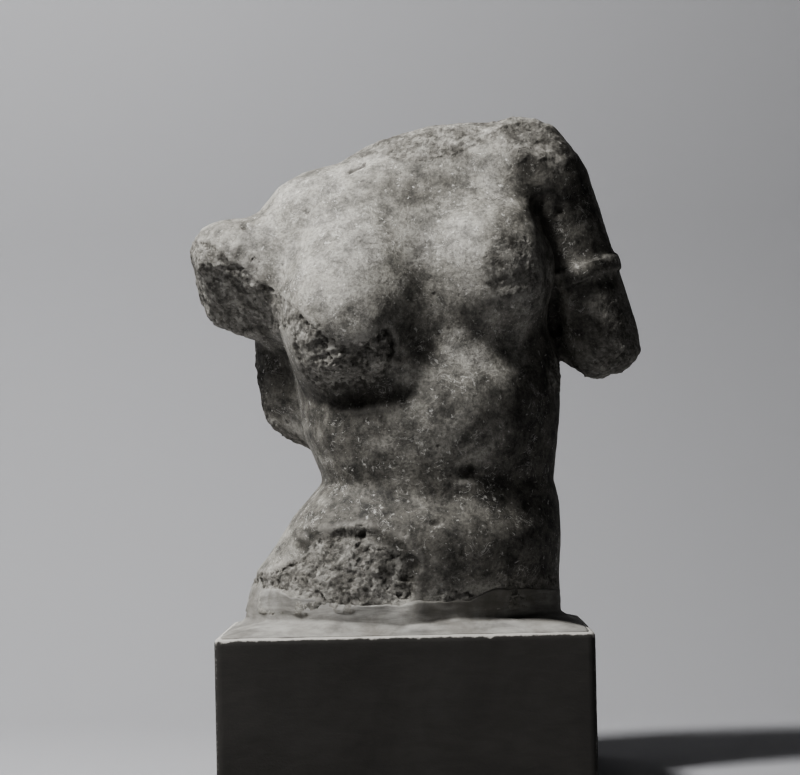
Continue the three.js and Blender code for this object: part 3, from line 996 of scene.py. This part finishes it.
@dataclass
class Plinth:
    """The cast block under the foot, with worn and chipped edges. Sizes are in millimetres."""

    voxel: float = 2.6
    edge_radius: float = 1.6
    worn_width: float = 2.6
    chip_depth: float = 0.8
    unevenness: float = 0.1
    drawn_in: float = 0.3

    def build(self, material: bpy.types.Material) -> bpy.types.Object:
        """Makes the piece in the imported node's place.

        Args:
            material: The painted plaster.

        Returns:
            The finished piece.
        """
        low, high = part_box("plinth")
        bm = bmesh.new()
        bmesh.ops.create_cube(bm, size=1.0)
        bmesh.ops.scale(bm, verts=bm.verts, vec=high - low)
        bmesh.ops.translate(bm, verts=bm.verts, vec=(low + high) / 2)
        bmesh.ops.bevel(
            bm,
            geom=bm.edges[:],
            offset=self.edge_radius * MM,
            segments=3,
            profile=0.5,
            affect="EDGES",
            material=-1,
        )
        mesh = remeshed(bm, "plinth_block", self.voxel)
        skin = Skin(mesh)
        self.wear(skin, np.array(low) / MM, np.array(high) / MM)
        skin.write()
        piece = finished(mesh, "plinth_block", Slot.PAINT, material)
        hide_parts("plinth")
        return piece

    def wear(self, skin: Skin, low: Values, high: Values) -> None:
        """Rounds and chips the block's edges, and leaves its faces slightly uneven.

        Args:
            skin: The piece's surface.
            low: The block's lowest corner, in millimetres.
            high: Its highest corner.
        """
        places = skin.places
        to_faces = np.sort(np.minimum(places - low, high - places), axis=1)
        from_edge = np.hypot(to_faces[:, 0], to_faces[:, 1])
        near_edge = np.exp(-((from_edge / self.worn_width) ** 2))
        chips = smoothstep(uneven(places, 12.0, 3, seed=31), 0.3, 0.7)
        faces = self.unevenness * uneven(places, 40.0, 3, seed=32)
        standing = smoothstep(places[:, 2], low[2] + 0.5, low[2] + 4.0)
        inwards = (low + high) / 2 - places
        inwards /= np.linalg.norm(inwards, axis=1)[:, None]
        skin.raise_by(standing * (faces - self.drawn_in))
        skin.places += inwards * (standing * near_edge * chips * self.chip_depth)[:, None]
        near_top = smoothstep(places[:, 2], high[2] - 4.0, high[2] - 1.5)
        skin.mark("worn", np.clip(near_edge * (0.6 + chips + 0.5 * near_top), 0.0, 1.0))


def linear(hex_colour: str) -> tuple[float, float, float, float]:
    """Turns an sRGB hex colour into linear light.

    Args:
        hex_colour: The colour, such as "#c8c2b6".

    Returns:
        Linear red, green, blue and an alpha of 1.
    """
    shares = (int(hex_colour[i : i + 2], 16) / 255 for i in (1, 3, 5))
    red, green, blue = (s / 12.92 if s <= 0.04045 else ((s + 0.055) / 1.055) ** 2.4 for s in shares)
    return red, green, blue, 1.0


@dataclass(frozen=True)
class Pattern:
    """Soft noise in a finish. Its size is the width of its broadest features in millimetres."""

    size: float
    detail: float
    roughness: float
    distortion: float = 0.0

    def on(self, place: Any) -> dict[str, Any]:
        """Gives a noise texture's inputs, for a texture that is sampled at a place in metres."""
        shape = {"Detail": self.detail, "Roughness": self.roughness, "Distortion": self.distortion}
        return {"Vector": place, "Scale": 1.0 / (self.size * MM), **shape}


# The sockets of a Mix node that blends colours, and the setting that makes a Map Range node rise smoothly.
UNDER, OVER, BLENDED = 6, 7, 2
SMOOTHLY = {"interpolation_type": "SMOOTHSTEP"}


@dataclass
class Finish:
    """A material's node tree while it is put together."""

    name: str
    material: bpy.types.Material = field(init=False)

    def __post_init__(self) -> None:
        """Starts the tree with nothing in it."""
        self.material = bpy.data.materials.new(self.name)
        self.material.use_nodes = True
        self.material.node_tree.nodes.clear()

    def add(
        self,
        kind: str,
        inputs: dict[str | int, Any] | None = None,
        stops: tuple[tuple[float, str], ...] = (),
        **settings: Any,
    ) -> bpy.types.Node:
        """Adds a node.

        Args:
            kind: The node's type, without its leading ShaderNode.
            inputs: Each input's value, the socket linked to it, or the node whose first output is.
            stops: A colour ramp's places and sRGB hex colours.
            settings: The node's own settings.

        Returns:
            The node.
        """
        tree = self.material.node_tree
        node = tree.nodes.new(f"ShaderNode{kind}")
        for name, value in settings.items():
            setattr(node, name, value)
        for name, value in (inputs or {}).items():
            if isinstance(value, bpy.types.Node):
                tree.links.new(value.outputs[0], node.inputs[name])
            elif isinstance(value, bpy.types.NodeSocket):
                tree.links.new(value, node.inputs[name])
            else:
                node.inputs[name].default_value = value
        for _ in stops[2:]:
            node.color_ramp.elements.new(0.5)
        for i, (place, colour) in enumerate(stops):
            node.color_ramp.elements[i].position = place
            node.color_ramp.elements[i].color = linear(colour)
        return node


@dataclass(frozen=True)
class WeatheredMarble:
    """Coarse-grained white marble, long buried: a pale skin with grey stains and painted light and shade, thin
    root marks, soil in its pits and small bruised white spots, and sugary, darker grain where it broke. Sizes are
    in millimetres."""

    pale: str = "#bbb8b1"
    skin: str = "#aeaba3"
    # The darker grey below serves the random grey stains and also the painted shade of the shading mark.
    stain_and_painted_shading: str = "#7f7c75"
    soil: str = "#46433e"
    root: str = "#e6e4df"
    stains: Pattern = Pattern(52.0, 9.0, 0.66, 0.3)
    mottle: Pattern = Pattern(13.0, 9.0, 0.74, 0.15)
    grain: Pattern = Pattern(2.2, 4.0, 0.76)
    root_lines: Pattern = Pattern(14.0, 5.0, 0.55, 1.8)
    root_patches: Pattern = Pattern(24.0, 4.0, 0.65)
    flakes: Pattern = Pattern(4.2, 6.0, 0.72, 0.4)
    dark_flecks: Pattern = Pattern(5.2, 6.0, 0.78, 0.8)
    pits: Pattern = Pattern(4.0, 5.0, 0.75)
    crystal_size: float = 2.4

    def make(self) -> bpy.types.Material:
        """Puts the material together."""
        finish = Finish("weathered_marble")
        add = finish.add
        place = add("TexCoord").outputs["Object"]
        marks = ("split", "sunk", "pale_marks_and_painted_shading")
        split, sunk, pale_marks_and_painted_shading = (add("Attribute", attribute_name=mark).outputs["Fac"] for mark in marks)
        mottle = add("TexNoise", self.mottle.on(place))
        grain = add("TexNoise", self.grain.on(place))

        # Painted light and shade: the shading mark shifts the skin's tone ramp towards its pale and grey ends, and
        # strengthens the mottling where it is dark.
        shift = add("MapRange", {"Value": pale_marks_and_painted_shading, "To Min": -0.19, "To Max": 0.13})
        stains = add("Math", {0: add("TexNoise", self.stains.on(place)), 1: shift}, operation="ADD")
        skin = add("ValToRGB", {"Fac": stains}, ((0.36, self.stain_and_painted_shading), (0.49, self.skin), (0.6, self.pale)))
        mottling = add("MapRange", {"Value": pale_marks_and_painted_shading, "To Min": 0.95, "To Max": 0.5})
        mottled = add("ValToRGB", {"Fac": mottle}, ((0.38, "#858585"), (0.57, "#ffffff")))
        grained = add("ValToRGB", {"Fac": grain}, ((0.36, "#959595"), (0.58, "#ffffff")))

        wander = add("TexNoise", self.root_lines.on(place))
        centred = add("Math", {0: wander, 1: 0.5}, operation="SUBTRACT")
        off_line = add("Math", {0: centred}, operation="ABSOLUTE")
        lines = add("MapRange", {"Value": off_line, "From Min": 0.012, "From Max": 0.003}, **SMOOTHLY)
        crowding = {"Value": add("TexNoise", self.root_patches.on(place)), "From Min": 0.5, "From Max": 0.58}
        patches = add("MapRange", {**crowding, "To Max": 0.5}, **SMOOTHLY)
        roots = add("Math", {0: lines, 1: patches}, operation="MULTIPLY")
        flaked, flecked, soiled, proud = (
            add("MapRange", {"Value": value, "From Min": low, "From Max": high, "To Max": most}, **SMOOTHLY)
            for value, low, high, most in (
                (add("TexNoise", self.flakes.on(place)), 0.6, 0.66, 0.6),
                (add("TexNoise", self.dark_flecks.on(place)), 0.37, 0.33, 0.55),
                (sunk, 0.56, 0.95, 0.7),
                (sunk, 0.44, 0.15, 0.35),
            )
        )

        crystals = add("TexVoronoi", {"Vector": place, "Scale": 1.0 / (self.crystal_size * MM)})
        facing = add("SeparateColor", {"Color": crystals.outputs["Color"]})
        broken = add("ValToRGB", {"Fac": mottle}, ((0.36, "#716e67"), (0.5, "#a8a59e"), (0.64, "#d2cfc8")))
        sugary = add("ValToRGB", {"Fac": facing}, ((0.0, "#8c8c8c"), (1.0, "#ffffff")))
        most_broken = add("Math", {0: split, 1: 0.8}, operation="MULTIPLY")
        most_sugary = add("Math", {0: split, 1: 0.7}, operation="MULTIPLY")
        layers = (
            ("MULTIPLY", mottling, mottled),
            ("MULTIPLY", 0.55, grained),
            ("MIX", roots, linear(self.root)),
            ("MIX", flaked, linear(self.root)),
            ("MIX", flecked, linear(self.soil)),
            ("MIX", most_broken, broken),
            ("MULTIPLY", most_sugary, sugary),
            ("MIX", soiled, linear(self.soil)),
            ("MIX", proud, linear(self.pale)),
        )

        wear = add("Math", {0: mottle, 1: 0.5, 2: split}, operation="MULTIPLY_ADD")
        roughness = add("MapRange", {"Value": wear, "To Min": 0.6, "To Max": 0.92})
        fine = add("Bump", {"Strength": 0.6, "Distance": 0.6 * MM, "Height": grain})
        pitting = add("Math", {0: split, 1: 0.45}, operation="ADD")
        pits = add("Math", {0: add("TexNoise", self.pits.on(place)), 1: pitting}, operation="MULTIPLY")
        tilted = add("Math", {0: facing, 1: split}, operation="MULTIPLY")
        height = add("Math", {0: tilted, 1: 0.3, 2: pits}, operation="MULTIPLY_ADD")
        relief = add("Bump", {"Strength": 0.9, "Distance": 1.6 * MM, "Height": height, "Normal": fine})
        colour = skin
        for mode, share, over in layers:
            inputs = {"Factor": share, UNDER: colour, OVER: over}
            colour = add("Mix", inputs, data_type="RGBA", blend_type=mode).outputs[BLENDED]
        values = {"Base Color": colour, "Roughness": roughness, "Normal": relief, "IOR": 1.5}
        add("OutputMaterial", {"Surface": add("BsdfPrincipled", values)})
        return finish.material


@dataclass(frozen=True)
class BrushedPlaster:
    """Plaster of Paris smoothed wet by hand: pale, matt, streaked level by the trowel, and toned down with
    thin grey wash where it meets the marble, with painted shade towards its right side. Sizes are in millimetres.
    The real grit is too fine to show, so it is drawn as coarse as it needs to show."""

    pale: str = "#b0aea9"
    shade: str = "#8c8983"
    wash_and_painted_shade: str = "#7d7a73"
    streaks: Pattern = Pattern(5.0, 5.0, 0.6, 0.4)
    clouds: Pattern = Pattern(32.0, 6.0, 0.62, 0.3)
    grit: Pattern = Pattern(1.4, 3.0, 0.6)

    def make(self) -> bpy.types.Material:
        """Puts the material together."""
        finish = Finish("brushed_plaster")
        add = finish.add
        place = add("TexCoord").outputs["Object"]
        washed_and_painted_shade = add("Attribute", attribute_name="washed_and_painted_shade").outputs["Fac"]
        level = add("Mapping", {"Vector": place, "Scale": (0.2, 0.2, 1.0)})
        streaks = add("TexNoise", self.streaks.on(level))
        clouds = add("TexNoise", self.clouds.on(place))
        plaster = add("ValToRGB", {"Fac": clouds}, ((0.34, self.shade), (0.58, self.pale)))
        streaked = add("ValToRGB", {"Fac": streaks}, ((0.36, "#a2a2a2"), (0.6, "#ffffff")))
        thin = add("MapRange", {"Value": clouds, "From Min": 0.7, "From Max": 0.3}, **SMOOTHLY)
        # Painted shade in part: the wash mark darkens the plaster near its rim, most on its right side.
        wash_and_painted_shade = add("Math", {0: washed_and_painted_shade, 1: thin}, operation="MULTIPLY")
        layers = (("MULTIPLY", 0.5, streaked), ("MIX", wash_and_painted_shade, linear(self.wash_and_painted_shade)))
        grit = add("TexNoise", self.grit.on(place))
        fine = add("Bump", {"Strength": 0.3, "Distance": 0.3 * MM, "Height": grit})
        relief = add("Bump", {"Strength": 0.5, "Distance": 0.8 * MM, "Height": streaks, "Normal": fine})
        colour = plaster
        for mode, share, over in layers:
            inputs = {"Factor": share, UNDER: colour, OVER: over}
            colour = add("Mix", inputs, data_type="RGBA", blend_type=mode).outputs[BLENDED]
        values = {"Base Color": colour, "Roughness": 0.82, "Normal": relief, "IOR": 1.5}
        add("OutputMaterial", {"Surface": add("BsdfPrincipled", values)})
        return finish.material


@dataclass(frozen=True)
class PaintedPlaster:
    """Cast plaster under thin grey distemper, brushed on level: faintly streaky, chalky, worn to the white along
    its edges, and paler over every face that turns upward. Sizes are in millimetres. The real grit is too fine to
    show, so it is drawn as coarse as it needs to show."""

    paint: str = "#514f4c"
    dark: str = "#454340"
    pale_edges_and_top: str = "#cbc8c2"
    streaks: Pattern = Pattern(7.0, 6.0, 0.62, 0.7)
    clouds: Pattern = Pattern(70.0, 7.0, 0.62, 0.6)
    breakup: Pattern = Pattern(5.0, 5.0, 0.7)
    grit: Pattern = Pattern(1.6, 3.0, 0.6)

    def make(self) -> bpy.types.Material:
        """Puts the material together."""
        finish = Finish("painted_plaster")
        add = finish.add
        place = add("TexCoord").outputs["Object"]
        worn = add("Attribute", attribute_name="worn").outputs["Fac"]
        level = add("Mapping", {"Vector": place, "Scale": (0.3, 0.3, 1.0)})
        streaks = add("TexNoise", self.streaks.on(level))
        clouds = add("TexNoise", self.clouds.on(place))
        paint = add("ValToRGB", {"Fac": clouds}, ((0.3, self.dark), (0.66, self.paint)))
        streaked = add("ValToRGB", {"Fac": streaks}, ((0.36, "#9a9a9a"), (0.62, "#ffffff")))
        breakup = add("TexNoise", self.breakup.on(place))
        rubbed = add("Math", {0: breakup, 1: 0.7, 2: worn}, operation="MULTIPLY_ADD")
        faces = add("SeparateXYZ", {"Vector": add("NewGeometry").outputs["Normal"]}).outputs["Z"]
        # Paler where the edges are rubbed, and over every face that turns upward.
        edges, top = (
            add("MapRange", {"Value": value, "From Min": low, "From Max": high, "To Max": 0.9}, **SMOOTHLY)
            for value, low, high in ((rubbed, 0.72, 1.0), (faces, 0.6, 0.9))
        )
        pale_edges_and_top = add("Math", {0: edges, 1: top}, operation="MAXIMUM")
        layers = (("MULTIPLY", 0.14, streaked), ("MIX", pale_edges_and_top, linear(self.pale_edges_and_top)))
        grit = add("TexNoise", self.grit.on(place))
        fine = add("Bump", {"Strength": 0.3, "Distance": 0.3 * MM, "Height": grit})
        relief = add("Bump", {"Strength": 0.4, "Distance": 0.4 * MM, "Height": streaks, "Normal": fine})
        colour = paint
        for mode, share, over in layers:
            inputs = {"Factor": share, UNDER: colour, OVER: over}
            colour = add("Mix", inputs, data_type="RGBA", blend_type=mode).outputs[BLENDED]
        values = {"Base Color": colour, "Roughness": 0.8, "Normal": relief, "IOR": 1.45}
        add("OutputMaterial", {"Surface": add("BsdfPrincipled", values)})
        return finish.material


@dataclass(frozen=True)
class Lamp:
    """A square lamp that faces the work. Its place and size are in metres, its power in watts."""

    name: str
    place: tuple[float, float, float]
    size: float
    power: float

    def hang(self, aim: Vector) -> None:
        """Adds the lamp to the scene, turned towards a place."""
        data = bpy.data.lights.new(self.name, "AREA")
        data.shape = "SQUARE"
        data.size = self.size
        data.energy = self.power
        lamp = linked(self.name, data)
        turned = (aim - Vector(self.place)).to_track_quat("-Z", "Y").to_matrix().to_4x4()
        lamp.matrix_world = Matrix.Translation(self.place) @ turned


@dataclass(frozen=True)
class Studio:
    """A plain pale floor that curves up behind the work, and soft light from the upper left, in metres."""

    width: float = 16.0
    front: float = -9.0
    wall: float = 0.8
    height: float = 2.6
    bend: float = 0.45
    tone: str = "#b2b2b4"
    aim: tuple[float, float, float] = (0.0, 0.0, 0.26)
    lamps: tuple[Lamp, ...] = (
        Lamp("main_light", (-0.8, -0.48, 1.6), 0.3, 33.0),
        Lamp("wide_light", (-0.6, -2.6, 0.9), 1.4, 1.2),
        Lamp("back_light", (-1.0, 1.9, 1.3), 0.9, 11.0),
    )
    air_tone: str = "#c4c8d0"
    air_strength: float = 0.012
    look: str = "AgX - High Contrast"

    def make_floor(self) -> bpy.types.Object:
        """Makes the floor and the wall behind it in one curved sheet.

        Returns:
            The sheet, which is not part of the work.
        """
        left, bend_start = -self.width / 2, self.wall - self.bend
        bm = bmesh.new()
        start = bm.verts.new((left, self.front, 0.0))
        end = bm.verts.new((left, bend_start, 0.0))
        bm.edges.new((start, end))
        spun = bmesh.ops.spin(
            bm,
            geom=[end],
            cent=(left, bend_start, self.bend),
            axis=(1.0, 0.0, 0.0),
            angle=math.pi / 2,
            steps=16,
            use_merge=False,
        )["geom_last"]
        bmesh.ops.extrude_vert_indiv(bm, verts=verts_of(spun))
        bm.verts.ensure_lookup_table()
        bm.verts[-1].co.z = self.height
        swept = bmesh.ops.extrude_edge_only(bm, edges=bm.edges[:])["geom"]
        bmesh.ops.translate(bm, verts=verts_of(swept), vec=(self.width, 0.0, 0.0))
        bmesh.ops.recalc_face_normals(bm, faces=bm.faces)
        if bm.faces[0].normal.z < -0.5 or max(face.normal.y for face in bm.faces) > 0.5:
            bmesh.ops.reverse_faces(bm, faces=bm.faces)
        mesh = as_mesh(bm, "studio_floor")
        mesh.shade_smooth()
        mesh.materials.append(self.paper())
        floor = linked("studio_floor", mesh)
        return floor

    def paper(self) -> bpy.types.Material:
        """Makes the sheet's finish: matt pale paper, clear from behind, so the work shows from every side."""
        finish = Finish("studio_paper")
        paper = finish.add("BsdfPrincipled", {"Base Color": linear(self.tone), "Roughness": 0.9})
        behind = finish.add("NewGeometry").outputs["Backfacing"]
        clear = finish.add("BsdfTransparent")
        finish.add("OutputMaterial", {"Surface": finish.add("MixShader", {0: behind, 1: paper, 2: clear})})
        return finish.material

    def make_lights(self) -> None:
        """Hangs the lamps, dims the air and sets the picture's contrast."""
        for lamp in self.lamps:
            lamp.hang(Vector(self.aim))
        world = bpy.data.worlds.new("studio_air")
        world.use_nodes = True
        background = world.node_tree.nodes["Background"]
        background.inputs["Color"].default_value = linear(self.air_tone)
        background.inputs["Strength"].default_value = self.air_strength
        bpy.context.scene.world = world
        bpy.context.scene.view_settings.look = self.look


def main() -> None:
    """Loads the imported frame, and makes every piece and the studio."""
    logging.basicConfig(level=logging.INFO, format="%(name)s: %(message)s")
    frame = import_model()
    view = ReferenceView()
    view.make_camera()
    nodes = frame["nodes"]
    marble = Torso(view).build(nodes["torso"], WeatheredMarble().make())
    PlasterFoot(view).build(nodes["plaster_foot"], marble, BrushedPlaster().make())
    Plinth().build(PaintedPlaster().make())
    studio = Studio()
    studio.make_floor()
    studio.make_lights()


if __name__ == "__main__":
    main()
